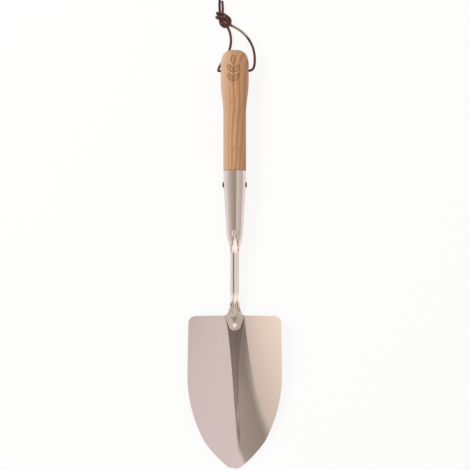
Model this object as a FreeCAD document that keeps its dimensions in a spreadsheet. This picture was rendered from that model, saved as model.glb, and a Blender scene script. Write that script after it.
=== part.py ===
import FreeCAD, Part
import math
import os
import Sketcher

from FreeCAD import Placement, Rotation, Vector

# A long-necked garden trowel with an ash handle, lying on its back, in millimetres.
# X is to the right, Y runs up the handle and Z faces out of the hollow of the blade.
# The lowest points of the handle's bulb and of the blade's rivet are on Z = 0.

DRIVING = {
    "axis_z": 14,               # height of the handle's centre line
    "bulb_radius": 14,
    "grip_radius": 11.3,
    "handle_top": 208.8,
    "shoulder_y": 88.8,
    "waist_y": 145,
    "bulb_low_y": 179,
    "flare_arc": 111,
    "dome_side_arc": 21.3,      # the dome is three arcs: side, corner and cap
    "dome_side_drop": 14.67,    # how far below the top each arc begins
    "dome_corner_arc": 9,
    "dome_corner_drop": 5.67,
    "dome_corner_radius": 12,   # the handle's radius where the corner begins
    "dome_cap_arc": 25,
    "dome_cap_drop": 0.73,
    "dome_cap_radius": 6,
    "dome_flat": 1.5,
    "tenon_end_y": 36,
    "tenon_bend_y": 74,
    "tenon_tip_radius": 6.8,
    "tenon_radius": 9.3,
    "thong_hole_y": 188.1,
    "thong_hole_radius": 2,
    "hole_mouth": 1.6,
    "socket_radius": 11.3,
    "socket_steel": 1.8,
    "tongue_end_y": -70.7,
    "tongue_half_width": 9.3,
    "tongue_tip_radius": 6.42,
    "tongue_tip_half": 6.3,     # half width where its rounded tip begins
    "tongue_tip_rise": 5.2,
    "sheet_gap": 0.05,          # between the tongue and the blade
    "blade_top": -55.5,
    "blade_length": 154.5,
    "blade_width": 94,
    "blade_steel": 1.5,
    "blade_corner": 7,
    "blade_taper": 1.2,         # how much narrower each side is at the corner than at the widest
    "widest_rise": 95,          # the outline's places, measured up from the tip
    "bend_rise": 28.5,
    "bend_half": 30.5,
    "tip_rise": 3.5,
    "tip_half": 8.5,
    "tip_arc": 12,
    "low_side_arc": 128,
    "side_arc": 142,
    "valley_z": 2.5,            # upper side of the blade along its valley
    "valley_half_width": 9.25,
    "valley_rise": 3.5,
    "valley_fade": 58,          # the valley narrows to 1/e over this length
    "wing_slope": 0.1,
    "wing_curl": 0.003,
    "wing_fade": 104,           # the wings' curl weakens to 1/e over this length
    "valley_drift": 0.00021,    # the valley wanders to +X by this times the square of its length
    "blade_rivet_y": -65.3,
    "blade_rivet_head": 2.4,
    "blade_rivet_shank": 1.6,
    "blade_rivet_top": 7.0,
    "blade_rivet_dome": 1.5,
    "cross_rivet_y": 75,
    "cross_rivet_head": 2.75,
    "cross_rivet_shank": 2,
    "cross_rivet_proud": 1.7,
    "cross_rivet_dome": 1.5,
    "lace": 2.5,
    "knot_half_length": 10.3,
    "knot_half_width": 6.8,
    "knot_half_height": 3.75,
    "knot_x": -11.2,
    "knot_y": 240.9,
    "knot_turn": -42,
}

BLOCK_DEPTH = 80  # of the blocks that trim a sheet to its outline: more than any sheet's height

doc = FreeCAD.newDocument("trowel")
sheet = doc.addObject("Spreadsheet::Sheet", "dim")
for row, (alias, number) in enumerate(DRIVING.items(), 1):
    sheet.set(f"A{row}", alias)
    sheet.set(f"B{row}", str(number))
    sheet.setAlias(f"B{row}", alias)
doc.recompute()


def size(alias):
    """One driving dimension, read from the sheet."""
    return float(getattr(sheet, alias))


# Helpers: bound primitives, booleans and sketches

def primitive(kind, name, spot, turn=None, **sizes):
    """A Part primitive whose sizes and place are formulas of the sheet."""
    solid = doc.addObject("Part::" + kind, name)
    if turn:
        solid.Placement = Placement(Vector(), Rotation(Vector(0, 1, 0), turn))
    for letter, formula in zip("xyz", spot):
        solid.setExpression("Placement.Base." + letter, formula)
    for which, formula in sizes.items():
        solid.setExpression(which, formula)
    return solid


def cut(name, base, *tools):
    """base with the tools taken away one after another."""
    for count, tool in enumerate(tools, 1):
        result = doc.addObject("Part::Cut", name if count == len(tools) else f"{name}_cut{count}")
        result.Base = base
        result.Tool = tool
        base = result
    return base


def rounded_ends(name, cylinder, radius):
    """cylinder with a fillet round each of its two end circles."""
    doc.recompute()
    rims = [i for i, e in enumerate(cylinder.Shape.Edges, 1) if isinstance(e.Curve, Part.Circle)]
    rounded = doc.addObject("Part::Fillet", name)
    rounded.Base = cylinder
    rounded.Edges = [(rim, size(radius), size(radius)) for rim in rims]
    return rounded


def new_sketch(body, name, role, lift="0"):
    """A sketch on one of its body's origin planes, or lift along that plane's normal."""
    sketch = body.newObject("Sketcher::SketchObject", name)
    support = next(o for o in body.Origin.OriginFeatures if o.Role == role)
    sketch.AttachmentSupport = [(support, "")]
    sketch.MapMode = "FlatFace"
    sketch.setExpression("AttachmentOffset.Base.z", lift)
    return sketch


def draw_loop(sketch, corners):
    """A closed loop of corners (x, y), as formulas. A third formula makes the edge that leaves
    the corner an arc of that radius, bulging left of its way, or right if it is negative."""
    spots = [Vector(*(float(sketch.evalExpression(f)) for f in c[:2])) for c in corners]
    ends = []
    for at, corner in enumerate(corners):
        a, b = spots[at], spots[(at + 1) % len(spots)]
        start, end = 1, 2
        if len(corner) == 2:
            edge = sketch.addGeometry(Part.LineSegment(a, b), False)
        else:
            radius = float(sketch.evalExpression(corner[2]))
            chord = b - a
            left = Vector(-chord.y, chord.x).normalize()
            sag = abs(radius) - math.sqrt(radius**2 - chord.Length**2 / 4)
            middle = (a + b) / 2 + left * math.copysign(sag, radius)
            edge = sketch.addGeometry(Part.Arc(a, middle, b), False)
            if sketch.getPoint(edge, 1).distanceToPoint(a) > 1e-4:
                start, end = 2, 1
            tie(sketch, Sketcher.Constraint("Radius", edge, abs(radius)), f"abs({corner[2]})")
        for kind, value, formula in zip(("DistanceX", "DistanceY"), a, corner):
            tie(sketch, Sketcher.Constraint(kind, -1, 1, edge, start, value), formula)
        ends.append(((edge, start), (edge, end)))
    for at, (start, _) in enumerate(ends):
        sketch.addConstraint(Sketcher.Constraint("Coincident", *ends[at - 1][1], *start))


def tie(sketch, constraint, formula):
    """Adds a constraint whose value is a formula of the sheet."""
    number = sketch.addConstraint(constraint)
    sketch.setExpression(f"Constraints[{number}]", formula)


# Handle

def make_handle():
    """Ash, turned about Y: a bulb, a slim grip and a tapering tenon, drilled across twice."""
    body = doc.addObject("PartDesign::Body", "turned_ash")
    outline = new_sketch(body, "turned_outline", "XY_Plane")
    draw_loop(outline, [
        ("0", "dim.tenon_end_y"),
        ("dim.tenon_tip_radius", "dim.tenon_end_y"),
        ("dim.tenon_radius", "dim.tenon_bend_y"),
        ("dim.tenon_radius", "dim.shoulder_y"),
        ("dim.grip_radius", "dim.shoulder_y"),
        ("dim.grip_radius", "dim.waist_y", "dim.flare_arc"),
        ("(dim.grip_radius + dim.bulb_radius) / 2", "(dim.waist_y + dim.bulb_low_y) / 2",
         "-dim.flare_arc"),
        ("dim.bulb_radius", "dim.bulb_low_y"),
        ("dim.bulb_radius", "dim.handle_top - dim.dome_side_drop", "-dim.dome_side_arc"),
        ("dim.dome_corner_radius", "dim.handle_top - dim.dome_corner_drop",
         "-dim.dome_corner_arc"),
        ("dim.dome_cap_radius", "dim.handle_top - dim.dome_cap_drop", "-dim.dome_cap_arc"),
        ("dim.dome_flat", "dim.handle_top"),
        ("0", "dim.handle_top"),
    ])
    turned = body.newObject("PartDesign::Revolution", "turning")
    turned.Profile = outline
    turned.ReferenceAxis = (outline, ["V_Axis"])
    turned.Angle = 360
    body.setExpression("Placement.Base.z", "dim.axis_z")
    across = 90
    half = "dim.bulb_radius + 2"
    hole = primitive("Cylinder", "thong_hole", (f"-({half})", "dim.thong_hole_y", "dim.axis_z"),
                     across, Radius="dim.thong_hole_radius", Height=f"2 * ({half})")
    mouths = [
        primitive("Cone", f"{side}_mouth", (f"{sign}(dim.bulb_radius + 1)", "dim.thong_hole_y",
                                            "dim.axis_z"), turn,
                  Radius1="dim.thong_hole_radius + dim.hole_mouth + 1",
                  Radius2="dim.thong_hole_radius", Height="dim.hole_mouth + 1")
        for side, sign, turn in (("right", "", -90), ("left", "-", 90))]
    rivet_hole = primitive("Cylinder", "tenon_hole", (f"-({half})", "dim.cross_rivet_y",
                                                      "dim.axis_z"),
                           across, Radius="dim.cross_rivet_shank", Height=f"2 * ({half})")
    return cut("handle", body, hole, *mouths, rivet_hole)


# Blade

def blade_curl(along):
    return f"dim.wing_curl * exp(-({along}) / dim.wing_fade)"


def blade_height(across, along, valley):
    """Formula for the blade's upper side, at a distance across from its middle line."""
    return (f"dim.valley_z + dim.wing_slope * (sqrt(({across})^2 + 1) - 1)"
            f" + {blade_curl(along)} * ({across})^2 + dim.valley_rise * {valley}"
            f" * exp(-({along}) / dim.valley_fade)")


def make_blade():
    """One sheet with a valley pressed down its middle, lofted along Y and cut to its outline."""
    sheet_body = doc.addObject("PartDesign::Body", "pressed_sheet")
    sections = []
    for along in (-6, 20, 50, 90, 160):
        sketch = new_sketch(sheet_body, f"section_{len(sections)}", "XZ_Plane",
                            f"-(dim.blade_top - ({along}))")
        fold = f"dim.valley_half_width * exp(-({along}) / dim.valley_fade)"
        middle = f"dim.valley_drift * ({along})^2"
        edge = "(dim.blade_width / 2 + 3)"
        bulge = f"1 / (2 * {blade_curl(along)})"
        left_z = blade_height(f"{edge} + {middle}", along, 1)
        right_z = blade_height(f"{edge} - {middle}", along, 1)
        fold_z, valley_z = blade_height(fold, along, 1), blade_height("0", along, 0)
        under = " - dim.blade_steel"
        draw_loop(sketch, [
            (f"-{edge}", left_z, f"-({bulge})"),
            (f"{middle} - {fold}", fold_z),
            (middle, valley_z),
            (f"{middle} + {fold}", fold_z, f"-({bulge})"),
            (edge, right_z),
            (edge, right_z + under, bulge),
            (f"{middle} + {fold}", fold_z + under),
            (middle, valley_z + under),
            (f"{middle} - {fold}", fold_z + under, bulge),
            (f"-{edge}", left_z + under),
        ])
        sections.append(sketch)
    loft = sheet_body.newObject("PartDesign::AdditiveLoft", "pressing")
    loft.Profile = sections[0]
    loft.Sections = sections[1:]
    outline_body = doc.addObject("PartDesign::Body", "blade_outline_block")
    outline = new_sketch(outline_body, "blade_outline", "XY_Plane")
    half, top, tip = "dim.blade_width / 2", "dim.blade_top", "dim.blade_top - dim.blade_length"
    corner = "dim.blade_corner"
    draw_loop(outline, [
        ("dim.tip_half", f"{tip} + dim.tip_rise", "-dim.low_side_arc"),
        ("dim.bend_half", f"{tip} + dim.bend_rise", "-dim.side_arc"),
        (half, f"{tip} + dim.widest_rise"),
        (f"{half} - dim.blade_taper", f"{top} - {corner}", f"-{corner}"),
        (f"{half} - dim.blade_taper - {corner}", top),
        (f"-({half} - dim.blade_taper - {corner})", top, f"-{corner}"),
        (f"-({half} - dim.blade_taper)", f"{top} - {corner}"),
        (f"-({half})", f"{tip} + dim.widest_rise", "-dim.side_arc"),
        ("-dim.bend_half", f"{tip} + dim.bend_rise", "-dim.low_side_arc"),
        ("-dim.tip_half", f"{tip} + dim.tip_rise", "-dim.tip_arc"),
    ])
    block = outline_body.newObject("PartDesign::Pad", "blade_block")
    block.Profile = outline
    block.Length = BLOCK_DEPTH
    block.Midplane = True
    trimmed = doc.addObject("Part::Common", "trimmed_blade")
    trimmed.Base = sheet_body
    trimmed.Tool = outline_body
    hole = primitive("Cylinder", "blade_rivet_hole", ("0", "dim.blade_rivet_y", "-1"),
                     Radius="dim.blade_rivet_shank", Height="dim.axis_z")
    return cut("blade", trimmed, hole)


# Socket, neck and tongue

# Each row is a section of the strip: place along Y, outer radius, half of the angle that the
# strip wraps (in degrees, from its back), the height of its back, and how far it has turned
# from a round trough (0) into the straight-sided valley of the blade (1).
NECK_SECTIONS = [
    (88.8, 11.3, 178.7, 2.7, 0),
    (82, 11.3, 178.7, 2.7, 0),
    (74, 11.2, 178.7, 2.8, 0),
    (58, 10.15, 178.6, 3.85, 0),
    (42, 9.25, 178.4, 4.75, 0),
    (28, 8.45, 178.0, 5.5, 0),
    (22, 7.7, 173, 6.0, 0),
    (16, 6.0, 150, 6.4, 0),
    (10, 4.6, 112, 6.7, 0),
    (3, 4.35, 98, 6.9, 0),
    (-15, 4.35, 94, 6.9, 0),
    (-32, 4.35, 92, 6.6, 0),
    (-42, 4.4, 88, 5.0, 0.1),
    (-49, 5.0, 80, 3.5, 0.4),
    (-53, 6.5, 72, 2.8, 0.8),
]

TONGUE_STRIP = (8, 70)  # radius and angle of the same section had it stayed round


def strip_section(y, radius, half_angle, back, flat, steel, half_width):
    """A closed wire in the plane Y = y: the strip's outer side, its inner side and its edges."""
    def spot(part, inward):
        turn = math.radians(half_angle) * part
        reach = radius - inward
        round_x, round_z = reach * math.sin(turn), back + radius - reach * math.cos(turn)
        valley_x = half_width * part
        slope = size("valley_rise") / size("valley_half_width") + size("wing_slope")
        valley_z = back + slope * abs(valley_x) + inward * math.hypot(1, slope)
        return Vector((1 - flat) * round_x + flat * valley_x, y,
                      (1 - flat) * round_z + flat * valley_z)

    def half_curve(side, inward):
        curve = Part.BSplineCurve()
        curve.interpolate([spot(side * step / 8, inward) for step in range(9)])
        return curve.toShape()

    outer = [half_curve(-1, 0), half_curve(1, 0)]
    inner = [half_curve(1, steel), half_curve(-1, steel)]
    rims = [Part.makeLine(spot(side, 0), spot(side, steel)) for side in (1, -1)]
    return Part.Wire(Part.__sortEdges__([*outer, rims[0], *inner, rims[1]]))


def eased(rows, y):
    """The row of numbers at y, along a smooth curve through the rows that never overshoots."""
    rows = sorted(rows)
    steps = list(zip(rows, rows[1:]))
    slopes = [[(b - a) / (after[0] - before[0]) for a, b in zip(before, after)]
              for before, after in steps]

    def tangent(at, column):
        if at in (0, len(rows) - 1):
            return 0
        one, two = slopes[at - 1][column], slopes[at][column]
        return 0 if one * two <= 0 else 2 * one * two / (one + two)

    for at, (before, after) in enumerate(steps):
        if y <= after[0]:
            break
    gap = after[0] - before[0]
    t = min(max((y - before[0]) / gap, 0), 1)
    return [y] + [(2 * t**3 - 3 * t**2 + 1) * a + (3 * t**2 - 2 * t**3) * b
                  + gap * ((t**3 - 2 * t**2 + t) * tangent(at, column)
                           + (t**3 - t**2) * tangent(at + 1, column))
                  for column, (a, b) in enumerate(zip(before, after)) if column]


def make_neck_socket():
    """One sheet: rolled into a socket, folded into a neck, its foot a tongue in the valley."""
    steel, width = size("socket_steel"), size("tongue_half_width")
    foot = size("valley_z") + size("sheet_gap")
    rows = NECK_SECTIONS + [(size("blade_top") - 0.5, *TONGUE_STRIP, foot, 1),
                            (size("tongue_end_y") - 4, *TONGUE_STRIP, foot, 1)]
    low, high = rows[-1][0], rows[0][0]
    count = 42
    sections = [strip_section(*eased(rows, low + (high - low) * at / count), steel, width)
                for at in range(count + 1)]
    rolled = doc.addObject("Part::Feature", "rolled_strip")
    rolled.Shape = Part.makeLoft(sections, True, False)
    body = doc.addObject("PartDesign::Body", "strip_outline_block")
    outline = new_sketch(body, "strip_outline", "XY_Plane")
    clear, above = "(dim.socket_radius + 4)", "dim.shoulder_y + 5"
    tip_y = "dim.tongue_end_y + dim.tongue_tip_rise"
    draw_loop(outline, [
        ("-dim.tongue_tip_half", tip_y, "-dim.tongue_tip_radius"),
        ("dim.tongue_tip_half", tip_y),
        ("dim.tongue_half_width", "dim.blade_top - 1.5"),
        (clear, "dim.blade_top + 1"),
        (clear, above),
        (f"-{clear}", above),
        (f"-{clear}", "dim.blade_top + 1"),
        ("-dim.tongue_half_width", "dim.blade_top - 1.5"),
    ])
    block = body.newObject("PartDesign::Pad", "strip_block")
    block.Profile = outline
    block.Length = BLOCK_DEPTH
    block.Midplane = True
    trimmed = doc.addObject("Part::Common", "trimmed_strip")
    trimmed.Base = rolled
    trimmed.Tool = body
    cross_hole = primitive("Cylinder", "socket_hole", (f"-{clear}", "dim.cross_rivet_y",
                                                       "dim.axis_z"),
                           90, Radius="dim.cross_rivet_shank", Height=f"2 * {clear}")
    tongue_hole = primitive("Cylinder", "tongue_hole", ("0", "dim.blade_rivet_y", "-1"),
                            Radius="dim.blade_rivet_shank", Height="dim.axis_z")
    return cut("neck_socket", trimmed, cross_hole, tongue_hole)


# Rivets

def make_blade_rivet(blade, neck):
    """Its domed head sits in the tongue's valley and its tail is set under the blade."""
    spot = ("0", "dim.blade_rivet_y")
    blank = primitive("Cylinder", "rivet_blank", (*spot, "0"),
                      Radius="dim.blade_rivet_head", Height="dim.blade_rivet_top")
    domed = rounded_ends("domed_blank", blank, "blade_rivet_dome")
    around = primitive("Cylinder", "around_shank", (*spot, "dim.valley_z - 0.1"),
                       Radius="dim.blade_rivet_head + 1", Height="dim.socket_steel + 0.1")
    shank = primitive("Cylinder", "shank_core", (*spot, "0"),
                      Radius="dim.blade_rivet_shank", Height="dim.blade_rivet_top")
    return cut("blade_rivet", domed, cut("around_ring", around, shank), blade, neck)


def make_cross_rivet():
    """One rivet through socket and tenon, with a domed head on each side."""
    reach = "dim.socket_radius + dim.cross_rivet_proud"
    blank = primitive("Cylinder", "head_blank", (f"-({reach})", "dim.cross_rivet_y", "dim.axis_z"),
                      90, Radius="dim.cross_rivet_head", Height=f"2 * ({reach})")
    domed = rounded_ends("head_blank_domed", blank, "cross_rivet_dome")
    inside = primitive("Cylinder", "inside_socket", ("0", "dim.cross_rivet_y + 10", "dim.axis_z"),
                       Radius="dim.socket_radius + 0.03", Height="20")
    inside.Placement.Rotation = Rotation(Vector(1, 0, 0), 90)
    shank = primitive("Cylinder", "cross_shank",
                      ("-dim.socket_radius - 0.5", "dim.cross_rivet_y", "dim.axis_z"), 90,
                      Radius="dim.cross_rivet_shank", Height="2 * dim.socket_radius + 1")
    rivet = doc.addObject("Part::Fuse", "cross_rivet")
    rivet.Base = cut("two_heads", domed, inside)
    rivet.Tool = shank
    return rivet


# Thong: one leather lace through the handle's hole, its two strands tied together in a knot.
# It is modelled as plain tubes along each strand and tail, and one solid for the knot.

LEFT_STRAND = [(0, 188.1, 14), (-15.8, 187.9, 13.6), (-15.4, 192.8, 7.6), (-11.8, 200.3, 3.2),
               (-5.6, 209.1, 2.4), (-3.3, 219.5, 2.6), (-4.6, 229, 2), (-8, 236.2, 1.9)]
RIGHT_STRAND = [(0, 188.1, 14), (16.8, 188.1, 14), (19.7, 193.3, 13.4), (20.2, 202.6, 11.6),
                (18.3, 212.9, 9.4), (13.8, 221.7, 6.8), (7.5, 228.9, 4.4), (1, 233.6, 2.4),
                (-5.4, 237.4, 2)]
LEFT_TAIL = [(-14.9, 241.5, 3.9), (-14.9, 246.5, 3.9), (-15, 251.2, 3), (-15.4, 256.4, 2),
             (-15.1, 262.4, 1.6)]
RIGHT_TAIL = [(-12.3, 241.2, 3.9), (-12.2, 245.8, 3.9), (-11.9, 250.8, 3.1), (-12.1, 255.4, 2),
              (-12.5, 260.6, 1.6)]


def make_lace(name, points, knot):
    """A round tube along straight runs joined by arcs as large as the runs allow."""
    points = [Vector(*p) for p in points]
    edges, here, radii = [], points[0], []
    for before, corner, after in zip(points, points[1:], points[2:]):
        back, ahead = before - corner, after - corner
        turn = math.pi - back.getAngle(ahead)
        set_off = 0.45 * min(back.Length, ahead.Length)
        radii.append(set_off / math.tan(turn / 2))
        start = corner + back.normalize() * set_off
        end = corner + ahead.normalize() * set_off
        bisector = (back + ahead).normalize()
        middle = corner + bisector * (math.hypot(radii[-1], set_off) - radii[-1])
        edges += [Part.LineSegment(here, start).toShape(), Part.Arc(start, middle, end).toShape()]
        here = end
    edges.append(Part.LineSegment(here, points[-1]).toShape())
    path = Part.Wire(edges)
    ring = Part.Wire(Part.Circle(points[0], points[1] - points[0], size("lace") / 2).toShape())
    tube = path.makePipeShell([ring], True, False)
    expected = math.pi * size("lace")**2 / 4 * path.Length
    print(f"{name}: length {path.Length:.1f}, volume {tube.Volume / expected:.3f} of its section"
          f" times length, radii", [round(r, 1) for r in radii])
    whole = doc.addObject("Part::Feature", name + "_tube")
    whole.Shape = tube
    return cut(name, whole, knot)


def make_thong():
    knot = primitive("Ellipsoid", "thong_knot", ("dim.knot_x", "dim.knot_y",
                                                 "dim.knot_half_height"),
                     Radius1="dim.knot_half_height", Radius2="dim.knot_half_length",
                     Radius3="dim.knot_half_width")
    knot.Placement.Rotation = Rotation(Vector(0, 0, 1), size("knot_turn"))
    routes = {"thong_left_strand": LEFT_STRAND, "thong_right_strand": RIGHT_STRAND,
              "thong_left_tail": LEFT_TAIL, "thong_right_tail": RIGHT_TAIL}
    return [knot] + [make_lace(name, route, knot) for name, route in routes.items()]


handle = make_handle()
blade = make_blade()
neck = make_neck_socket()
pieces = [handle, blade, neck, make_blade_rivet(blade, neck), make_cross_rivet(), *make_thong()]
doc.recompute()

for item in doc.Objects:
    if set(item.State) & {"Invalid", "Error"}:
        raise RuntimeError(f"{item.Name} failed: {item.State}")
for piece in pieces:
    if piece.Shape.isNull() or not piece.Shape.isValid():
        raise RuntimeError(f"{piece.Label} has no valid shape")

os.makedirs("parts", exist_ok=True)
for piece in pieces:
    box = piece.Shape.optimalBoundingBox()
    print(f"{piece.Label}: {len(piece.Shape.Solids)} solid, {piece.Shape.Volume:.0f} mm3,"
          f" X {box.XMin:.2f} {box.XMax:.2f}, Y {box.YMin:.2f} {box.YMax:.2f},"
          f" Z {box.ZMin:.2f} {box.ZMax:.2f}")
    piece.Shape.exportStep(f"parts/{piece.Label}.step")
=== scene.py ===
import bmesh
import bpy
import math
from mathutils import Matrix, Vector


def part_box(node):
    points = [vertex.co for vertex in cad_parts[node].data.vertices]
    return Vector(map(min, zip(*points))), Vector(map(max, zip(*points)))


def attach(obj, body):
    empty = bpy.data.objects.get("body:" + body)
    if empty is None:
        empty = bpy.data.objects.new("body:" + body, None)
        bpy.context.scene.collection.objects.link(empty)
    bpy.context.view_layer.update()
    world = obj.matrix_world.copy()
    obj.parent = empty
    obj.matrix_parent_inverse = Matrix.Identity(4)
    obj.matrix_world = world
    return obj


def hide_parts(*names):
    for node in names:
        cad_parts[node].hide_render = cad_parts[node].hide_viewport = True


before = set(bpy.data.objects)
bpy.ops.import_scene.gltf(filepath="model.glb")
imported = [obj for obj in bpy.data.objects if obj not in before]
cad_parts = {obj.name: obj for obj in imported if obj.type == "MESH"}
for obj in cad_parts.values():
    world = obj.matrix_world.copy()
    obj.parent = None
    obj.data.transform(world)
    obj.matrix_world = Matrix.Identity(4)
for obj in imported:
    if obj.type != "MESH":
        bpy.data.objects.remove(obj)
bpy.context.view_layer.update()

mm = 0.001
handleAxis = sum(corner.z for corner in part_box("handle")) / 2 / mm  # its height
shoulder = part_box("neck_socket")[1].y / mm  # where the wood meets the steel
print("frame loaded:", ", ".join(sorted(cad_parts)))


# helpers that several pieces share

def newPiece(name, data, material, body):
    piece = bpy.data.objects.new(name, data)
    bpy.context.scene.collection.objects.link(piece)
    data.materials.clear()
    data.materials.append(material)
    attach(piece, body)
    return piece


def meshFrom(name, points, faces, paintedShading):
    # points come in millimetres; the last argument is painted light on the steel, from 1 for dark
    # painted shade and reflection to -1 for a pale painted highlight
    mesh = bpy.data.meshes.new(name)
    mesh.from_pydata([[c * mm for c in p] for p in points], [], faces)
    mesh.attributes.new("paintedShading", "FLOAT", "POINT").data.foreach_set("value", paintedShading)
    work = bmesh.new()
    work.from_mesh(mesh)
    bmesh.ops.remove_doubles(work, verts=work.verts, dist=2e-6)
    bmesh.ops.dissolve_degenerate(work, edges=work.edges, dist=1e-7)
    bmesh.ops.recalc_face_normals(work, faces=work.faces)
    work.to_mesh(mesh)
    work.free()
    mesh.shade_smooth()
    return mesh


def bevelRims(piece, width, angle):
    soften = piece.modifiers.new("soft rims", "BEVEL")
    soften.width = width * mm
    soften.segments = 2
    soften.limit_method = "ANGLE"
    soften.angle_limit = math.radians(angle)
    soften.harden_normals = True
    soften.miter_outer = "MITER_ARC"


def gridFaces(rows, columns, closed=False):
    last = columns if closed else columns - 1
    return [(r * columns + c, r * columns + (c + 1) % columns,
             (r + 1) * columns + (c + 1) % columns, (r + 1) * columns + c)
            for r in range(rows - 1) for c in range(last)]


def addNode(tree, kind, inputs=None, **settings):
    made = tree.nodes.new(kind)
    for name, value in settings.items():
        setattr(made, name, value)
    for key, value in (inputs or {}).items():
        if isinstance(value, bpy.types.NodeSocket):
            tree.links.new(value, made.inputs[key])
        else:
            made.inputs[key].default_value = value
    return made


def newMaterial(name):
    material = bpy.data.materials.new(name)
    material.use_nodes = True
    tree = material.node_tree
    return material, tree, tree.nodes["Principled BSDF"]


def calc(tree, operation, a, b=0.0, c=0.0, clamp=False):
    return addNode(tree, "ShaderNodeMath", {0: a, 1: b, 2: c},
                   operation=operation, use_clamp=clamp).outputs[0]


def mixColour(tree, factor, one, two):
    one, two = (c if isinstance(c, bpy.types.NodeSocket) else (*c, 1) for c in (one, two))
    return addNode(tree, "ShaderNodeMix", {0: factor, 6: one, 7: two}, data_type="RGBA").outputs[2]


def stretchedNoise(tree, coordinates, stretch, scale, detail, distortion=0.0):
    mapping = addNode(tree, "ShaderNodeMapping", {"Vector": coordinates, "Scale": stretch})
    noise = addNode(tree, "ShaderNodeTexNoise", {"Vector": mapping.outputs[0], "Scale": scale,
                                                 "Detail": detail, "Distortion": distortion})
    return noise.outputs["Fac"]


def ramp(tree, factor, stops):
    made = addNode(tree, "ShaderNodeValToRGB", {"Fac": factor})
    elements = made.color_ramp.elements
    while len(elements) < len(stops):
        elements.new(0.5)
    for element, (place, colour) in zip(elements, stops):
        element.position = place
        element.color = (*colour, 1)
    return made.outputs["Color"]


# materials

steelLook = {
    # the steel's colours are tinted warm, a painted tint standing in for the warm light it mirrors
    "colour": (0.82, 0.70, 0.65),
    "wornColour": (0.72, 0.61, 0.56),
    "paintedShadeColour": (0.20, 0.15, 0.135),  # painted shade and dark painted reflection in the folds and over the rivet
    "paintedHighlightColour": (0.97, 0.93, 0.90),  # painted highlight: near-white in place of the bright reflection on the neck
    "roughness": 0.055,
    "brushLines": 0.0012,  # depth of the brushing in the bump, mm
    "brushing": ((1, 0.02, 1), 1400, 4),  # each noise: its stretch, scale, detail and distortion
    "coarse": ((1, 0.05, 1), 260, 3),
    "blotch": ((1, 0.5, 1), 22, 4, 0.4),
}


def polishedStainless():
    # stainless polished and then brushed lightly along the tool, with painted shade in its folds and
    # grooves, dark painted reflections beside them, and a pale painted highlight, rougher and less
    # metallic, on the neck
    material, tree, shader = newMaterial("polished stainless")
    place = addNode(tree, "ShaderNodeTexCoord").outputs["Object"]
    brushing = stretchedNoise(tree, place, *steelLook["brushing"])
    coarse = stretchedNoise(tree, place, *steelLook["coarse"])
    blotch = stretchedNoise(tree, place, *steelLook["blotch"])
    lines = calc(tree, "MULTIPLY_ADD", coarse, 0.5, calc(tree, "MULTIPLY", brushing, 0.5))
    tone = calc(tree, "MULTIPLY_ADD", blotch, 0.6, calc(tree, "MULTIPLY", lines, 0.4))
    # the mesh carries painted light: above 0 painted shade and dark reflection, below 0 a pale painted
    # highlight
    paintedShading = addNode(tree, "ShaderNodeAttribute", attribute_name="paintedShading").outputs["Fac"]
    colour = mixColour(tree, tone, steelLook["colour"], steelLook["wornColour"])
    paintedHighlight = calc(tree, "MULTIPLY", paintedShading, -1, clamp=True)
    paintedShading = calc(tree, "MULTIPLY", paintedShading, 1, clamp=True)
    colour = mixColour(tree, paintedShading, colour, steelLook["paintedShadeColour"])
    colour = mixColour(tree, paintedHighlight, colour, steelLook["paintedHighlightColour"])
    tree.links.new(colour, shader.inputs["Base Color"])
    tree.links.new(calc(tree, "MULTIPLY_ADD", paintedHighlight, -0.5, 1), shader.inputs["Metallic"])
    rough = calc(tree, "MULTIPLY_ADD", tone, 0.04, steelLook["roughness"] - 0.03)
    rough = calc(tree, "MULTIPLY_ADD", paintedShading, 0.18, calc(tree, "MULTIPLY_ADD", paintedHighlight, 0.35, rough))
    tree.links.new(rough, shader.inputs["Roughness"])
    bump = addNode(tree, "ShaderNodeBump", {"Strength": 0.35, "Height": lines,
                                            "Distance": steelLook["brushLines"] * mm})
    tree.links.new(bump.outputs[0], shader.inputs["Normal"])
    return material


def brownedSteel():
    # the cross rivet's heads: dark, slightly pitted
    material, tree, shader = newMaterial("browned steel")
    place = addNode(tree, "ShaderNodeTexCoord").outputs["Object"]
    pits = stretchedNoise(tree, place, (1, 1, 1), 900, 5)
    stain = stretchedNoise(tree, place, (1, 1, 1), 260, 3)
    colour = mixColour(tree, stain, (0.10, 0.075, 0.06), (0.21, 0.16, 0.13))
    tree.links.new(colour, shader.inputs["Base Color"])
    shader.inputs["Metallic"].default_value = 0.85
    tree.links.new(calc(tree, "MULTIPLY_ADD", pits, 0.3, 0.28), shader.inputs["Roughness"])
    bump = addNode(tree, "ShaderNodeBump", {"Strength": 0.4, "Height": pits, "Distance": 0.04 * mm})
    tree.links.new(bump.outputs[0], shader.inputs["Normal"])
    return material


ashLook = {
    "light": (0.63, 0.385, 0.21), "middle": (0.50, 0.265, 0.12), "dark": (0.28, 0.115, 0.042),
    # this line's darkest colour marks the burnt sprig and also paints the shade at the joint with the
    # steel
    "pore": (0.26, 0.115, 0.05), "burntAndShade": (0.15, 0.045, 0.022),
    # the paler colour here is painted light for the handle's left side, as if lit from the left
    "ruddy": (0.42, 0.165, 0.07), "paintedLitSide": (0.74, 0.50, 0.36),
    "heart": (-46, -12),  # middle of the tree, mm across and up from the handle's axis
    "ringWidth": 3.6, "lean": -0.075,  # the grain leans this much across for each mm along
    "driftDepth": 13, "waverDepth": 1.6,  # how far the rings wander, mm
    "drift": ((1, 0.22, 1), 28, 2),  # each noise: its stretch, scale, detail and distortion
    "waver": ((1, 0.08, 1), 240, 3), "fine": ((1, 0.03, 1), 800, 4, 0.4),
    "pores": ((1, 0.07, 1), 1500, 2, 0.3), "patch": ((1, 0.15, 1), 60, 3),
    "ruddyPatch": ((1, 0.12, 1), 75, 2),
    "jointShadeReach": 1.1,  # painted shade at the joint with the steel reaches this far up, mm
}

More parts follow.
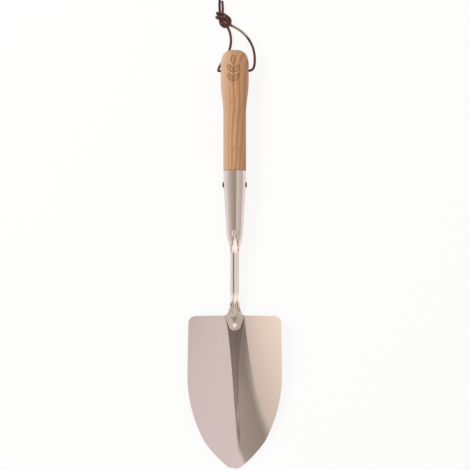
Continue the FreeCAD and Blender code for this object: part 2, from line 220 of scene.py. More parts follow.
sprigLook = {  # the burnt mark, in millimetres and degrees
    "middle": (-1.2, 187), "leaf": (9.5, 3.8), "pairs": (-7, 1.5), "lean": 38, "reach": 3.1,
    "topLeaf": 10.5, "stem": (22, 1.3), "stemAt": -4,
    "rim": (1.1, 2.4),  # how strong a leaf's outline is, and how sharp
    "fill": (5, 0.3),  # how sharply its inside starts, and how dark it is
    "ends": 12,  # how sharply it ends at its points
}


def leafMask(tree, x, y, spot, turn, size):
    # 1 inside a pointed leaf around spot, 0 outside; all in millimetres
    dx, dy = calc(tree, "SUBTRACT", x, spot[0]), calc(tree, "SUBTRACT", y, spot[1])
    c, s = math.cos(math.radians(turn)), math.sin(math.radians(turn))
    along = calc(tree, "MULTIPLY_ADD", dx, c, calc(tree, "MULTIPLY", dy, s))
    beside = calc(tree, "MULTIPLY_ADD", dy, c, calc(tree, "MULTIPLY", dx, -s))
    part = calc(tree, "DIVIDE", along, size[0] / 2)
    edge = calc(tree, "SUBTRACT", 1, calc(tree, "MULTIPLY", part, part), clamp=True)
    reach = calc(tree, "DIVIDE", calc(tree, "ABSOLUTE", beside), size[1] / 2)
    inside = calc(tree, "SUBTRACT", edge, reach)
    strong, sharp = sprigLook["rim"]
    rim = calc(tree, "MULTIPLY", calc(tree, "ABSOLUTE", inside), sharp)
    rim = calc(tree, "SUBTRACT", strong, rim, clamp=True)
    steep, share = sprigLook["fill"]
    fill = calc(tree, "MULTIPLY", calc(tree, "MULTIPLY", inside, steep, clamp=True), share)
    within = calc(tree, "MULTIPLY", edge, sprigLook["ends"], clamp=True)
    return calc(tree, "MULTIPLY", calc(tree, "MAXIMUM", rim, fill), within)


def burntSprig(tree, x, y, z):
    # a plain sprig burnt into the front of the bulb: a stem with leaves in pairs and one on top
    look = sprigLook
    across, middle = look["middle"]
    x = calc(tree, "SUBTRACT", x, across)
    mask = leafMask(tree, x, y, (0, middle + look["topLeaf"]), 90, look["leaf"])
    for lift in look["pairs"]:
        for side in (-1, 1):
            spot = (side * look["reach"], middle + lift)
            leaf = leafMask(tree, x, y, spot, 90 - side * look["lean"], look["leaf"])
            mask = calc(tree, "MAXIMUM", mask, leaf)
    stem = leafMask(tree, x, y, (0, middle + look["stemAt"]), 90, look["stem"])
    mask = calc(tree, "MAXIMUM", mask, stem)
    front = calc(tree, "GREATER_THAN", z, 0.0)
    return calc(tree, "MULTIPLY", mask, front)


def oiledAsh():
    # ash: rings that run along the handle, short dark pores, a burnt mark, painted light on its left
    # side and painted shade at the joint with the steel
    look = ashLook
    material, tree, shader = newMaterial("oiled ash")
    place = addNode(tree, "ShaderNodeTexCoord").outputs["Object"]
    inMm = addNode(tree, "ShaderNodeMapping", {"Vector": place, "Scale": (1000, 1000, 1000),
                                               "Location": (0, 0, -handleAxis)}).outputs[0]
    x, y, z = addNode(tree, "ShaderNodeSeparateXYZ", {0: inMm}).outputs
    drift = stretchedNoise(tree, place, *look["drift"])
    waver = stretchedNoise(tree, place, *look["waver"])
    leaned = calc(tree, "MULTIPLY_ADD", y, look["lean"], calc(tree, "SUBTRACT", x, look["heart"][0]))
    deep = calc(tree, "SUBTRACT", z, look["heart"][1])
    reach = calc(tree, "SQRT", calc(tree, "ADD", calc(tree, "MULTIPLY", leaned, leaned),
                                                 calc(tree, "MULTIPLY", deep, deep)))
    reach = calc(tree, "MULTIPLY_ADD", waver, look["waverDepth"], reach)
    reach = calc(tree, "MULTIPLY_ADD", drift, look["driftDepth"], reach)
    ring = calc(tree, "FRACT", calc(tree, "DIVIDE", reach, look["ringWidth"]))
    fine = stretchedNoise(tree, place, *look["fine"])
    pores = stretchedNoise(tree, place, *look["pores"])
    base = ramp(tree, ring, [(0.0, look["dark"]), (0.10, look["middle"]), (0.45, look["light"]),
                             (0.8, look["middle"]), (1.0, look["dark"])])
    patch = stretchedNoise(tree, place, *look["patch"])
    base = mixColour(tree, calc(tree, "MULTIPLY", patch, 0.3), base, look["middle"])
    ruddy = calc(tree, "MULTIPLY", stretchedNoise(tree, place, *look["ruddyPatch"]), 0.9)
    base = mixColour(tree, calc(tree, "SUBTRACT", ruddy, 0.25, clamp=True), base, look["ruddy"])
    streaks = mixColour(tree, calc(tree, "MULTIPLY", fine, 0.22), base, look["light"])
    dark = calc(tree, "LESS_THAN", pores, 0.38)
    colour = mixColour(tree, calc(tree, "MULTIPLY", dark, 0.4), streaks, look["pore"])
    # painted light: the left side paler, as if lit from the left
    paintedLightLeft = calc(tree, "MULTIPLY_ADD", x, -1 / 15, -0.12, clamp=True)
    colour = mixColour(tree, calc(tree, "MULTIPLY", paintedLightLeft, 0.75), colour, look["paintedLitSide"])
    redder = calc(tree, "MULTIPLY_ADD", x, 1 / 16, -0.1, clamp=True)
    colour = mixColour(tree, calc(tree, "MULTIPLY", redder, 0.5), colour, look["ruddy"])
    # painted shade in the gap where the wood meets the steel
    jointShade = calc(tree, "DIVIDE", calc(tree, "SUBTRACT", y, shoulder), look["jointShadeReach"])
    jointShade = calc(tree, "SUBTRACT", 1, jointShade, clamp=True)
    colour = mixColour(tree, calc(tree, "MULTIPLY", jointShade, 0.75), colour, look["burntAndShade"])
    burn = burntSprig(tree, x, y, z)
    uneven = calc(tree, "MULTIPLY_ADD", fine, 0.4, 0.62)
    colour = mixColour(tree, calc(tree, "MULTIPLY", burn, uneven), colour, look["burntAndShade"])
    tree.links.new(colour, shader.inputs["Base Color"])
    shader.inputs["Coat Weight"].default_value = 0.12
    shader.inputs["Coat Roughness"].default_value = 0.35
    tree.links.new(calc(tree, "MULTIPLY_ADD", fine, 0.2, 0.42), shader.inputs["Roughness"])
    height = calc(tree, "SUBTRACT", calc(tree, "MULTIPLY", fine, 0.4), dark)
    height = calc(tree, "SUBTRACT", height, calc(tree, "MULTIPLY", burn, 1.5))
    bump = addNode(tree, "ShaderNodeBump", {"Strength": 0.4, "Height": height, "Distance": 0.05 * mm})
    tree.links.new(bump.outputs[0], shader.inputs["Normal"])
    return material


laceSpots = [  # place in mm, reach in mm, colour, strength
    ((5.5, 229.5, 4), 12, (0.34, 0.24, 0.18), 0.75),  # paler beside the knot
    ((-15.3, 258, 2), 13, (0.014, 0.006, 0.005), 0.9),  # darker at one end
]


def waxedLace(name, tintedSpots):
    # round leather lace: dark waxed brown, paler where it is rubbed
    material, tree, shader = newMaterial(name)
    place = addNode(tree, "ShaderNodeTexCoord").outputs["Object"]
    grain = stretchedNoise(tree, place, (1, 1, 1), 1600, 5)
    rubbed = stretchedNoise(tree, place, (1, 1, 1), 90, 3)
    colour = mixColour(tree, rubbed, (0.045, 0.011, 0.008), (0.14, 0.040, 0.028))
    colour = mixColour(tree, calc(tree, "MULTIPLY", grain, 0.5), colour, (0.085, 0.026, 0.02))
    for spot, size, tint, weight in tintedSpots:
        away = addNode(tree, "ShaderNodeVectorMath", {0: place, 1: [c * mm for c in spot]},
                       operation="DISTANCE").outputs["Value"]
        near = calc(tree, "SUBTRACT", 1, calc(tree, "DIVIDE", away, size * mm), clamp=True)
        near = calc(tree, "MULTIPLY", calc(tree, "MULTIPLY", near, 2.5, clamp=True), weight)
        colour = mixColour(tree, near, colour, tint)
    tree.links.new(colour, shader.inputs["Base Color"])
    tree.links.new(calc(tree, "MULTIPLY_ADD", grain, 0.3, 0.32), shader.inputs["Roughness"])
    bump = addNode(tree, "ShaderNodeBump", {"Strength": 0.5, "Height": grain, "Distance": 0.08 * mm})
    tree.links.new(bump.outputs[0], shader.inputs["Normal"])
    return material


def rivetSteelPaintedHighlight():
    # the small rivet in the tongue: near-white as a painted highlight, with a satin skin
    material, tree, shader = newMaterial("rivet steel with painted highlight")
    place = addNode(tree, "ShaderNodeTexCoord").outputs["Object"]
    skin = stretchedNoise(tree, place, (1, 1, 1), 1500, 4)
    colour = mixColour(tree, skin, (0.97, 0.93, 0.90), (0.90, 0.85, 0.81))
    tree.links.new(colour, shader.inputs["Base Color"])
    shader.inputs["Metallic"].default_value = 0.55
    tree.links.new(calc(tree, "MULTIPLY_ADD", skin, 0.15, 0.38), shader.inputs["Roughness"])
    bump = addNode(tree, "ShaderNodeBump", {"Strength": 0.3, "Height": skin, "Distance": 0.02 * mm})
    tree.links.new(bump.outputs[0], shader.inputs["Normal"])
    return material


stainless, rivetHighlightSteel, browned = polishedStainless(), rivetSteelPaintedHighlight(), brownedSteel()
ash = oiledAsh()
leather, spottedLeather = waxedLace("waxed lace", []), waxedLace("spotted lace", laceSpots)
print("materials ready")


# blade, in millimetres; `across` is the distance from its middle line, `along` from its top edge

bladeSizes = {
    "top": -55.5, "length": 154.5, "width": 94, "thickness": 1.5,
    "valleyZ": 2.5, "valleyHalfWidth": 9.25, "valleyRise": 3.5, "valleyFade": 58,
    "valleyDrift": 0.00021,  # the valley wanders to +x by this much times along squared
    "wingSlope": 0.1, "wingCurl": 0.003, "wingFade": 104,
    "valleyEnd": (85, 128),  # where the valley starts to die out, and where it is gone
    "tipRound": (1, 6.5, 126, 20),  # width of the rounding under the wings, and how it grows
    "cornerRadius": 7, "tipRadius": 12, "columns": (12, 34), "rows": 120,
    "widest": 95, "taper": 1.2,  # height above the tip; the edges draw in this much above it
    "edgeArcs": [(30.5, 28.5, 142), (8.5, 3.5, 128)],  # to a half width and height, at a radius
    "middleRound": 0.3, "foldRound": 0.06,  # roundness of the valley's middle, in mm, and its folds
    # painted shade in the valley: how dark, how it fades along the blade, where it ends; then the lip
    # beside each fold
    "valleyShade": 0.95, "valleyShadeFade": 260, "valleyShadeEnd": (118, 150), "foldLip": 0.9,
    "wedge": (9.6, 104),  # a wedge beside the right fold, darkened as a painted reflection: its width, how it grows
    "wedgeReflection": (0.72, 8, 90),  # how dark its painted reflection is, where that starts to fade, where it is gone
}


def valleyHalf(along):
    return bladeSizes["valleyHalfWidth"] * math.exp(-along / bladeSizes["valleyFade"])


def easedPart(value, start, end):
    part = min(max((value - start) / (end - start), 0), 1)
    return part * part * (3 - 2 * part)


def valleyMiddle(along):
    return bladeSizes["valleyDrift"] * along**2


def bladeHeight(across, along):
    b = bladeSizes
    left = 1 - easedPart(along, *b["valleyEnd"])
    rise = b["valleyRise"] * math.exp(-along / b["valleyFade"]) * left
    part = (math.hypot(across, b["middleRound"]) - b["middleRound"]) / valleyHalf(along)
    wall = 0.5 * (part + 1 - math.hypot(part - 1, b["foldRound"]))
    curl = b["wingCurl"] * math.exp(-along / b["wingFade"])
    least, most, start, over = b["tipRound"]
    bend = least + most * max((along - start) / over, 0)**2
    return (b["valleyZ"] + b["wingSlope"] * (math.hypot(across, bend) - bend)
            + curl * across**2 + rise * wall)


def arcAcross(a, b, radius, y):
    # x at y on the arc through a and b that bulges to +x
    chord = Vector(b) - Vector(a)
    side = Vector((-chord.y, chord.x)).normalized()
    if side.x > 0:
        side = -side
    reach = math.sqrt(radius**2 - chord.length_squared / 4)
    centre = (Vector(a) + Vector(b)) / 2 + side * reach
    return centre.x + math.sqrt(max(radius**2 - (y - centre.y)**2, 0))


def bladeHalfWidth(y):
    b = bladeSizes
    half, top, tip, corner = b["width"] / 2, b["top"], b["top"] - b["length"], b["cornerRadius"]
    start = (half, tip + b["widest"])
    if y > top - corner:
        return half - b["taper"] - corner + math.sqrt(max(corner**2 - (y - top + corner)**2, 0))
    if y > start[1]:
        return half - b["taper"] * (y - start[1]) / (top - corner - start[1])
    for across, height, radius in b["edgeArcs"]:
        end = (across, tip + height)
        if y > end[1]:
            return arcAcross(start, end, radius, y)
        start = end
    return math.sqrt(max(b["tipRadius"]**2 - (y - tip - b["tipRadius"])**2, 0))


def wingColumns(along, room, fold, side):
    # distances from the valley's middle out to one edge, and at each the painted shade: in the valley,
    # and on the right as a painted dark reflection in the wedge
    b = bladeSizes
    inner, outer = b["columns"]
    near = outer // 3
    depth = b["valleyShade"] * math.exp(-along / b["valleyShadeFade"]) * (1 - easedPart(along, *b["valleyShadeEnd"]))
    wedgeReflection, *wedgeFade = b["wedgeReflection"]
    past = wedgeReflection * (1 - easedPart(along, *wedgeFade)) if side > 0 else 0
    wedge = b["wedge"][0] * math.exp(along / b["wedge"][1])
    wedge = min(max(wedge, fold + 0.3), fold + (room - fold) * 0.8)
    line = wedge + min(0.3, (room - wedge) * 0.1)
    lip = min(b["foldLip"], (wedge - fold) * 0.3)
    places = [fold * k / inner for k in range(inner)] + [fold, fold + lip * 0.9]
    places += [fold + lip + (wedge - fold - lip) * k / near for k in range(near + 1)]
    places += [line + (room - line) * k / (outer - near) for k in range(outer - near + 1)]
    folded = max(depth, past) if side > 0 else 0
    marks = [depth] * inner + [folded] * 2 + [past] * (near + 1) + [0] * (outer - near + 1)
    return places, marks


def makeBlade():
    b = bladeSizes
    points, paintedShading = [], []
    for row in range(b["rows"] + 1):
        even = row / b["rows"]
        part = 0.35 * even + 0.65 * (1 - math.cos(math.pi * even)) / 2  # rows crowd at both ends
        along = part * b["length"]
        y = b["top"] - along
        half = max(bladeHalfWidth(y), 0.0)
        middle = min(valleyMiddle(along), half * 0.95)
        fold = min(valleyHalf(along), (half - middle) * 0.3)
        for side in (-1, 1):
            places, marks = wingColumns(along, half - side * middle, fold, side)
            if side < 0:
                places, marks = places[:0:-1], marks[:0:-1]
            points += [(middle + side * p, y, bladeHeight(p, along)) for p in places]
            paintedShading += marks
    faces = gridFaces(b["rows"] + 1, len(points) // (b["rows"] + 1))
    mesh = meshFrom("pressedBlade", points, faces, paintedShading)
    if mesh.polygons[len(mesh.polygons) // 2].normal.z < 0:
        mesh.flip_normals()
    piece = newPiece("pressedBlade", mesh, stainless, "tool")
    wall = piece.modifiers.new("sheet steel", "SOLIDIFY")
    wall.thickness = b["thickness"] * mm
    wall.offset = -1
    wall.use_even_offset = True
    bevelRims(piece, 0.35, 60)
    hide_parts("blade")


makeBlade()
print("blade done")


# socket, neck and tongue: one strip. Each row: y, outer radius, half of the angle it wraps,
# height of its back, and 0 for round to 1 for the straight-sided tongue

neckSizes = {
    "sections": [
        (88.8, 11.3, 179.6, 2.7, 0), (76, 11.3, 179.6, 2.7, 0), (74.6, 11.25, 179.6, 2.76, 0),
        (58, 10.15, 179.6, 3.85, 0), (42, 9.25, 179.6, 4.75, 0), (28, 8.45, 179.4, 5.5, 0),
        (22, 7.7, 173, 6.0, 0), (16, 6.0, 150, 6.4, 0), (10, 4.6, 112, 6.7, 0),
        (3, 4.35, 98, 6.9, 0), (-15, 4.35, 94, 6.9, 0), (-32, 4.35, 92, 6.7, 0),
        (-42, 4.4, 88, 5.0, 0.03), (-49, 4.7, 82, 3.5, 0.2), (-53, 5.6, 74, 2.8, 0.5),
        (-56, 7.6, 70, 2.58, 0.92), (-57.5, 8, 70, 2.55, 1), (-70.7, 8, 70, 2.55, 1),
    ],
    "steel": 1.8, "tongueSlope": 0.478, "tongueHalfWidth": 9.3, "tongueEnd": -70.7,
    "tongueTip": 6.42, "across": 24, "step": 1.0,
    "tongueTaper": (-57, 5.2, 6.3),  # where it starts, how far above the end it stops, and how wide
    "groove": (-50, 12, -0.43, -0.1, 0.45),  # painted shade, a dark streak in the groove: its ends, its sides and its depth
    "paintedHighlight": (-38, 10, -1.1, 1.1, -0.75),  # pale painted highlight on the floor and rims, given in the same way
    "highlightOutside": 0.75,  # outside, the painted highlight starts this far round towards the rims
    "fade": 4,  # a streak fades in and out over this length
    "webClimb": (7, 0.22),  # where the web starts to climb into the socket, and how steeply
    "web": (-46, -38, 22, 29, 1.8),  # steel that fills the trough: where it rises and falls, height
    "tongueReflection": (-63.5, -57, 0.55, 0.4, -0.06),  # painted dark reflection, a triangle over the rivet: ends, depth, share, middle
    "webBack": 6.9,  # the web stays level above this back as the back drops towards the socket
    "seam": (9, 24, 7.5),  # the seam lies this many degrees to the right, from one y to another
}


def eased(rows, y):
    # the row at y, on a smooth curve through the rows that never overshoots them
    rows = sorted(rows)
    steps = list(zip(rows, rows[1:]))
    slopes = [[(b - a) / (two[0] - one[0]) for a, b in zip(one, two)] for one, two in steps]

    def tangent(at, column):
        if at in (0, len(rows) - 1):
            return 0
        one, two = slopes[at - 1][column], slopes[at][column]
        return 0 if one * two <= 0 else 2 * one * two / (one + two)

    at = next((k for k, (_, two) in enumerate(steps) if y <= two[0]), len(steps) - 1)
    one, two = steps[at]
    gap = two[0] - one[0]
    t = min(max((y - one[0]) / gap, 0), 1)
    return [(2 * t**3 - 3 * t**2 + 1) * a + (3 * t**2 - 2 * t**3) * b
            + gap * ((t**3 - 2 * t**2 + t) * tangent(at, column)
                     + (t**3 - t**2) * tangent(at + 1, column))
            for column, (a, b) in enumerate(zip(one, two)) if column]


def tongueHalfWidth(y):
    n = neckSizes
    wide, end, tip = n["tongueHalfWidth"], n["tongueEnd"], n["tongueTip"]
    start, above, narrow = n["tongueTaper"]
    if y > end + above:
        return wide - (wide - narrow) * min(max((start - y) / (start - end - above), 0), 1)
    return math.sqrt(max(tip**2 - (y - end - tip)**2, 0))


def makeNeck():
    n = neckSizes
    foot, top, count = n["tongueEnd"], shoulder, n["across"]
    ys = [foot + 0.12 * k**1.6 for k in range(10)]  # close rows round the tongue's end
    while ys[-1] < top - n["step"]:
        ys.append(ys[-1] + n["step"])
    ys.append(top)

    def spot(y, row, part, inward):
        radius, half, back, flat = row
        lean = math.radians(n["seam"][2]) * easedPart(y, *n["seam"][:2])
        turn = math.radians(half) * part - lean
        reach = radius - inward
        acrossV = tongueHalfWidth(y) * part
        valley = math.hypot(acrossV, 0.35) - 0.2  # rounded at the bottom of the V
        roundZ = back + radius - reach * math.cos(turn)
        low, rise, fall, high, web = n["web"]
        filled = web * easedPart(y, low, rise) * (1 - easedPart(y, fall, high))
        if inward and filled > 0.01 and abs(turn) < math.pi / 2:
            floorZ = (max(back, n["webBack"]) if y > 0 else back) + inward + filled
            floorZ += n["webClimb"][1] * max(y - n["webClimb"][0], 0)
            roundZ = (roundZ + floorZ + math.hypot(roundZ - floorZ, 0.15)) / 2
        flatZ = back + n["tongueSlope"] * valley + inward * math.hypot(1, n["tongueSlope"])
        return ((1 - flat) * reach * math.sin(turn) + flat * acrossV, y,
                (1 - flat) * roundZ + flat * flatZ)

    parts = [k / count for k in range(-count, count + 1)]
    points, paintedShading = [], []

    def streak(kind, y, part):
        low, high, left, right, depth = n[kind]
        within = min(max((y - low) / n["fade"], 0), 1) * min(max((high - y) / n["fade"], 0), 1)
        return depth * within * (left < part < right)

    for y in ys:
        row = eased(n["sections"], y)
        points += [spot(y, row, p, 0) for p in parts]
        points += [spot(y, row, p, n["steel"]) for p in reversed(parts)]
        # painted light on the strip: shade in the groove, a pale highlight on the floor and rims, a
        # dark reflection over the rivet
        low, high, depth, share, centre = n["tongueReflection"]
        tongueReflection = depth if low < y < high else 0
        wide = (y - low) / (high - low) * share
        paintedShading += [streak("paintedHighlight", y, p) if abs(p) > n["highlightOutside"] else 0 for p in parts]
        paintedShading += [streak("groove", y, p) or streak("paintedHighlight", y, p) or tongueReflection * (abs(p - centre) < wide)
                 for p in reversed(parts)]
    around = 2 * len(parts)
    faces = gridFaces(len(ys), around, closed=True)
    for start in (0, (len(ys) - 1) * around):
        faces += [(start + k, start + k + 1, start + around - 2 - k, start + around - 1 - k)
                  for k in range(len(parts) - 1)]
    mesh = meshFrom("rolledNeck", points, faces, paintedShading)
    piece = newPiece("rolledNeck", mesh, stainless, "tool")
    bevelRims(piece, 0.4, 55)
    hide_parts("neck_socket")


makeNeck()
print("neck and socket done")


# rivets: two domed heads and the shank between them, each head slightly uneven from the hammer

rivetKinds = {
    "crossRivet": {"Head Radius": 2.9, "Wall": 0.45, "Dome": 0.75, "Shank Radius": 2,
                   "Start": (-11.3, 75, 14), "Step": (22.6, 0, 0), "Tilt": -90},
    "bladeRivet": {"Head Radius": 2.45, "Wall": 0.5, "Dome": 0.45, "Shank Radius": 1.6,
                   "Start": (0, -65.3, 0.72), "Step": (0, 0, 5.0), "Tilt": 180},
}


def rivetTree():
    tree = bpy.data.node_groups.new("domedRivet", "GeometryNodeTree")
    face = tree.interface
    for name, kind in (("Head Radius", "Float"), ("Wall", "Float"), ("Dome", "Float"),
                       ("Shank Radius", "Float"), ("Start", "Vector"), ("Step", "Vector"),
                       ("Tilt", "Float"), ("Finish", "Material")):
        face.new_socket(name, in_out="INPUT", socket_type="NodeSocket" + kind)
    face.new_socket("Rivet", in_out="OUTPUT", socket_type="NodeSocketGeometry")
    given = addNode(tree, "NodeGroupInput").outputs
    radius = given["Head Radius"]
    blank = addNode(tree, "GeometryNodeMeshCylinder", {"Vertices": 40, "Side Segments": 2,
                    "Fill Segments": 9, "Radius": radius, "Depth": given["Wall"]},
                    fill_type="TRIANGLE_FAN").outputs["Mesh"]
    place = addNode(tree, "GeometryNodeInputPosition").outputs[0]
    x, y, z = addNode(tree, "ShaderNodeSeparateXYZ", {0: place}).outputs
    out = calc(tree, "SQRT", calc(tree, "MULTIPLY_ADD", x, x, calc(tree, "MULTIPLY", y, y)))
    part = calc(tree, "DIVIDE", out, radius)
    hammered = addNode(tree, "ShaderNodeTexNoise", {"Vector": place, "Scale": 500.0, "Detail": 0.0})
    uneven = calc(tree, "MULTIPLY_ADD", hammered.outputs["Fac"], 0.2, 0.9)
    high = calc(tree, "SQRT", calc(tree, "SUBTRACT", 1.0001, calc(tree, "MULTIPLY", part, part)))
    lift = calc(tree, "MULTIPLY", calc(tree, "MULTIPLY", high, given["Dome"]), uneven)
    upper = calc(tree, "GREATER_THAN", z, 0.0)
    move = addNode(tree, "ShaderNodeCombineXYZ", {2: calc(tree, "MULTIPLY", lift, upper)}).outputs[0]
    head = addNode(tree, "GeometryNodeSetPosition", {"Geometry": blank, "Offset": move}).outputs[0]
    ends = addNode(tree, "GeometryNodeMeshLine", {"Count": 2, "Start Location": given["Start"],
                                                  "Offset": given["Step"]}).outputs[0]
    at = addNode(tree, "GeometryNodeInputIndex").outputs[0]
    tilt = calc(tree, "MULTIPLY_ADD", at, math.pi, given["Tilt"])
    turn = addNode(tree, "ShaderNodeCombineXYZ", {1: tilt}).outputs[0]
    heads = addNode(tree, "GeometryNodeInstanceOnPoints", {"Points": ends, "Instance": head,
                                                           "Rotation": turn}).outputs[0]
    solid = addNode(tree, "GeometryNodeRealizeInstances", {0: heads}).outputs[0]
    middle = addNode(tree, "ShaderNodeVectorMath", {0: given["Step"], 1: (0.5, 0.5, 0.5),
                                                    2: given["Start"]}, operation="MULTIPLY_ADD")
    long = addNode(tree, "ShaderNodeVectorMath", {0: given["Step"]}, operation="LENGTH")
    core = addNode(tree, "GeometryNodeMeshCylinder", {"Vertices": 32, "Radius": given["Shank Radius"],
                                                      "Depth": long.outputs["Value"]}).outputs["Mesh"]
    lean = addNode(tree, "ShaderNodeCombineXYZ", {1: given["Tilt"]}).outputs[0]
    shank = addNode(tree, "GeometryNodeTransform", {"Geometry": core, "Rotation": lean,
                                                    "Translation": middle.outputs[0]}).outputs[0]
    both = addNode(tree, "GeometryNodeJoinGeometry")
    for part in (solid, shank):
        tree.links.new(part, both.inputs[0])
    smooth = addNode(tree, "GeometryNodeSetShadeSmooth", {"Geometry": both.outputs[0]}).outputs[0]
    done = addNode(tree, "GeometryNodeSetMaterial", {"Geometry": smooth,
                                                     "Material": given["Finish"]}).outputs[0]
    tree.links.new(done, addNode(tree, "NodeGroupOutput").inputs[0])
    return tree


def sceneUnits(key, value):
    if key == "Tilt":
        return math.radians(value)
    return [c * mm for c in value] if isinstance(value, tuple) else value * mm


def makeRivet(name, tree, material, node):
    sizes = {key: sceneUnits(key, value) for key, value in rivetKinds[name].items()}
    sizes["Finish"] = material
    holder = bpy.data.objects.new(name + "Maker", bpy.data.meshes.new(name + "Maker"))
    bpy.context.scene.collection.objects.link(holder)
    maker = holder.modifiers.new("rivet", "NODES")
    maker.node_group = tree
    for socket in tree.interface.items_tree:
        if socket.in_out == "INPUT":
            maker[socket.identifier] = sizes[socket.name]
    bpy.context.view_layer.update()
    ready = holder.evaluated_get(bpy.context.evaluated_depsgraph_get())
    mesh = bpy.data.meshes.new_from_object(ready)
    mesh.name = name
    bpy.data.objects.remove(holder)
    piece = newPiece(name, mesh, material, "tool")
    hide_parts(node)


domedRivet = rivetTree()
makeRivet("crossRivet", domedRivet, browned, "cross_rivet")
makeRivet("bladeRivet", domedRivet, rivetHighlightSteel, "blade_rivet")
print("rivets done")

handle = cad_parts["handle"]
handle.data.materials.clear()
handle.data.materials.append(ash)


# thong: two ends of one lace, each from the middle of the handle's hole, through the knot
# to its tail; the points are control points in millimetres

laceSizes = {"thickness": 2.5}
leftLace = [(0, 188.1, 14), (-12.5, 188.1, 14), (-16.6, 188.1, 13.4), (-16.3, 190.6, 9.4),
            (-14.7, 194.6, 6.2), (-11.8, 200.3, 3.2), (-5.6, 209.1, 2.4), (-3.3, 219.5, 2.6),
            (-4.6, 229, 2), (-7.4, 234.7, 1.4), (-11, 239.1, 1.4), (-14.5, 242.3, 1.4),
            (-17.3, 243.3, 1.4), (-18.7, 243.6, 3.75), (-17.3, 243.9, 6.15), (-12.8, 244.1, 6.3),
            (-8.2, 242, 6.2), (-6.7, 240.2, 5.6), (-6.7, 238, 4.5), (-8.2, 236.5, 3.9),
            (-10.4, 236.5, 3.9), (-11.9, 238, 3.9),
            (-12.3, 241.2, 3.9), (-12.2, 245.8, 3.9), (-11.9, 250.8, 3.1), (-12.1, 255.4, 2),
            (-12.5, 260.6, 1.6)]
rightLace = [(0, 188.1, 14), (13.5, 188.1, 14), (17.8, 189.2, 14), (19.7, 193.3, 13.4),
             (20.2, 202.6, 11.6),
             (18.3, 212.9, 9.4), (13.8, 221.7, 6.8), (7.5, 228.9, 4.4), (1, 233.6, 2.4),
             (-5, 236.7, 1.4), (-9.4, 241.1, 1.4), (-13.2, 245.3, 1.4), (-16.6, 247.2, 1.4),
             (-18.2, 247.6, 3.75), (-16.8, 247.7, 6.15), (-12.5, 247.3, 6.3), (-7.2, 244.2, 6.2),
             (-4.2, 241.2, 5.6), (-4.2, 237, 4.4), (-7.2, 234, 3.9), (-11.4, 234, 3.9),
             (-14.4, 237, 3.9), (-14.9, 241.5, 3.9), (-14.9, 246.5, 3.9), (-15, 251.2, 3),
             (-15.4, 256.4, 2), (-15.1, 262.4, 1.6)]


def makeLace(name, route, nodes, material):
    curve = bpy.data.curves.new(name, "CURVE")
    curve.dimensions = "3D"
    curve.bevel_depth = laceSizes["thickness"] / 2 * mm
    curve.bevel_resolution = 5
    curve.use_fill_caps = True
    curve.resolution_u = 10
    spline = curve.splines.new("NURBS")
    spline.points.add(len(route) - 1)
    for point, spot in zip(spline.points, route):
        point.co = (*(c * mm for c in spot), 1)
    spline.order_u = 3
    spline.use_endpoint_u = True
    piece = newPiece(name, curve, material, "thong")
    plain = curve.copy()
    plain.bevel_depth = 0
    probe = bpy.data.objects.new("probe", plain)
    line = bpy.data.meshes.new_from_object(probe)
    bpy.data.objects.remove(probe)
    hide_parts(*nodes)


makeLace("laceLeft", leftLace,
         ("thong_left_strand", "thong_right_tail", "thong_knot"), leather)
makeLace("laceRight", rightLace, ("thong_right_strand", "thong_left_tail"),
         spottedLeather)
print("thong done")


# studio: a white floor, soft light and a camera straight above

studio = {
    "cameraHeight": 1.0, "focusZ": 0.008, "centre": (0.0003, 0.0251), "span": 0.470,
    "floorReach": 4.0, "floorDrop": 0.0002, "floorGlow": 0.86,  # metres, and a share of white
    "lampSpot": (-0.7, 0.5, 0.9), "lampAim": (0, 0.03, 0), "lampSize": 0.5, "lampPower": 6,
}


def makeFloor():
    mesh = bpy.data.meshes.new("floor")
    side = studio["floorReach"]
    mesh.from_pydata([(-side, -side, 0), (side, -side, 0), (side, side, 0), (-side, side, 0)],
                     [], [(0, 1, 2, 3)])
    floor = bpy.data.objects.new("floor", mesh)
    bpy.context.scene.collection.objects.link(floor)
    floor.location.z = -studio["floorDrop"]
    material, tree, shader = newMaterial("white floor")
    shader.inputs["Base Color"].default_value = (0.9, 0.9, 0.9, 1)
    shader.inputs["Roughness"].default_value = 1
    shader.inputs["Specular IOR Level"].default_value = 0
    paths = addNode(tree, "ShaderNodeLightPath").outputs
    seen = calc(tree, "MAXIMUM", paths["Is Camera Ray"],
                calc(tree, "MAXIMUM", paths["Is Glossy Ray"], paths["Is Transmission Ray"]))
    glow = addNode(tree, "ShaderNodeEmission", {"Color": (1, 1, 1, 1), "Strength": 1.0})
    share = calc(tree, "MULTIPLY", seen, studio["floorGlow"])
    mix = addNode(tree, "ShaderNodeMixShader", {0: share, 1: shader.outputs[0], 2: glow.outputs[0]})
    tree.links.new(mix.outputs[0], tree.nodes["Material Output"].inputs["Surface"])
    mesh.materials.append(material)


skyTones = {  # brightness by degrees to the left (-) or right (+) of straight up
    "blade": [(-90, 0.7), (-62, 0.3), (-50, 0.2), (-44, 0.9), (-36, 1.1), (-26, 0.98), (-17.2, 0.78),
              (-16.5, 0.68), (-15.9, 0.35), (-12, 0.44), (-7.5, 0.5), (-5, 0.85), (0, 0.92),
              (12, 0.86), (26, 0.82), (40, 0.70), (46, 0.4), (54, 0.2), (64, 0.4), (85, 0.8)],
    "socket": [(-90, 0.85), (-72, 0.78), (-50, 0.62), (-30, 0.50), (0, 0.42), (11, 0.45),
               (13.5, 0.80), (34, 0.80), (50, 0.72), (68, 0.66), (85, 0.62)],
}


skyEdges = {  # degrees from straight up between which one tone gives way to another
    "handle": (-9, -8), "low": (-19, -21), "steep": (47, 53),  # where the socket's tones take over
    "windowWidth": (14, 6), "bladeWindow": (-19, -23), "handleWindow": (5, 8),
    "windowColour": (1.3, 1.27, 1.24),  # a little brighter than white
}


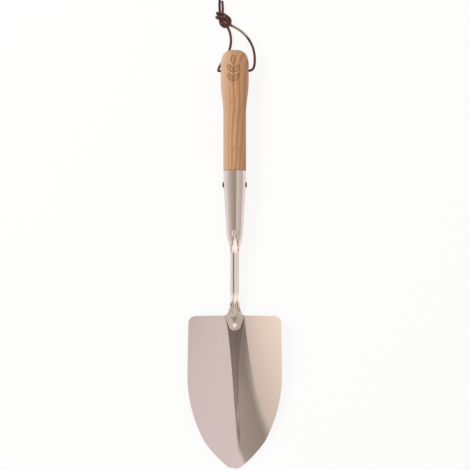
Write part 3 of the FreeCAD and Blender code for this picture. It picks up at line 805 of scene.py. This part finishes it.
def smoothStep(tree, value, start, end):
    made = addNode(tree, "ShaderNodeMapRange", {"Value": value, "From Min": start, "From Max": end},
                   interpolation_type="SMOOTHSTEP")
    return made.outputs["Result"]


def makeWorld():
    # a studio sky for the steel to mirror: the blade's tones in a band on the blade's side of
    # straight up, the socket's tones everywhere else, and a narrow bright window towards each end
    world = bpy.data.worlds.new("studio")
    bpy.context.scene.world = world
    world.use_nodes = True
    tree = world.node_tree
    tree.nodes.clear()
    way = addNode(tree, "ShaderNodeTexCoord").outputs["Generated"]
    split = addNode(tree, "ShaderNodeSeparateXYZ", {0: way}).outputs
    degree = 180 / math.pi
    acrossTurn = calc(tree, "MULTIPLY", calc(tree, "ARCTAN2", split[0], split[2]), degree)
    alongTurn = calc(tree, "MULTIPLY", calc(tree, "ARCSINE", split[1]), degree)
    where = calc(tree, "MULTIPLY_ADD", acrossTurn, 1 / 180, 0.5)
    tints = {"blade": ((1.0, 0.93, 0.86), (0.97, 0.92, 0.95)), "socket": ((1.0, 0.94, 0.88),) * 2}
    skies = []
    for key, tones in skyTones.items():
        leftTint, rightTint = tints[key]
        skies.append(ramp(tree, where, [
            ((a + 90) / 180, [v * w for w in (leftTint if a < -6 else rightTint)])
            for a, v in tones]))
    aside = calc(tree, "ABSOLUTE", acrossTurn)
    edges = skyEdges
    socketSky = calc(tree, "MAXIMUM", smoothStep(tree, alongTurn, *edges["handle"]),
                     smoothStep(tree, alongTurn, *edges["low"]))
    socketSky = calc(tree, "MAXIMUM", socketSky, smoothStep(tree, aside, *edges["steep"]))
    sky = mixColour(tree, socketSky, *skies)
    narrow = smoothStep(tree, aside, *edges["windowWidth"])
    windows = calc(tree, "ADD", smoothStep(tree, alongTurn, *edges["bladeWindow"]),
                   smoothStep(tree, alongTurn, *edges["handleWindow"]))
    sky = mixColour(tree, calc(tree, "MULTIPLY", narrow, windows), sky, edges["windowColour"])
    paths = addNode(tree, "ShaderNodeLightPath").outputs
    colour = mixColour(tree, paths["Is Camera Ray"], sky, (1, 1, 1))
    light = addNode(tree, "ShaderNodeBackground", {"Color": colour, "Strength": 1.0})
    out = addNode(tree, "ShaderNodeOutputWorld")
    tree.links.new(light.outputs[0], out.inputs["Surface"])


def makeLamp():
    data = bpy.data.lights.new("keyLamp", "AREA")
    data.shape = "DISK"
    data.size = studio["lampSize"]
    data.energy = studio["lampPower"]
    lamp = bpy.data.objects.new("keyLamp", data)
    lamp.location = studio["lampSpot"]
    lamp.visible_glossy = False  # so that no steel mirrors it
    lamp.rotation_mode = "QUATERNION"
    back = Vector(studio["lampSpot"]) - Vector(studio["lampAim"])
    lamp.rotation_quaternion = back.to_track_quat("Z", "Y")
    bpy.context.scene.collection.objects.link(lamp)


def makeCamera():
    data = bpy.data.cameras.new("camera")
    data.sensor_width = 36
    reach = studio["cameraHeight"] - studio["focusZ"]
    data.lens = 36 * reach / studio["span"]
    data.clip_start = 0.01
    camera = bpy.data.objects.new("camera", data)
    camera.location = (*studio["centre"], studio["cameraHeight"])
    bpy.context.scene.collection.objects.link(camera)
    bpy.context.scene.camera = camera


makeFloor()
makeWorld()
makeLamp()
makeCamera()
bpy.context.scene.view_settings.view_transform = "Standard"
print("studio ready")
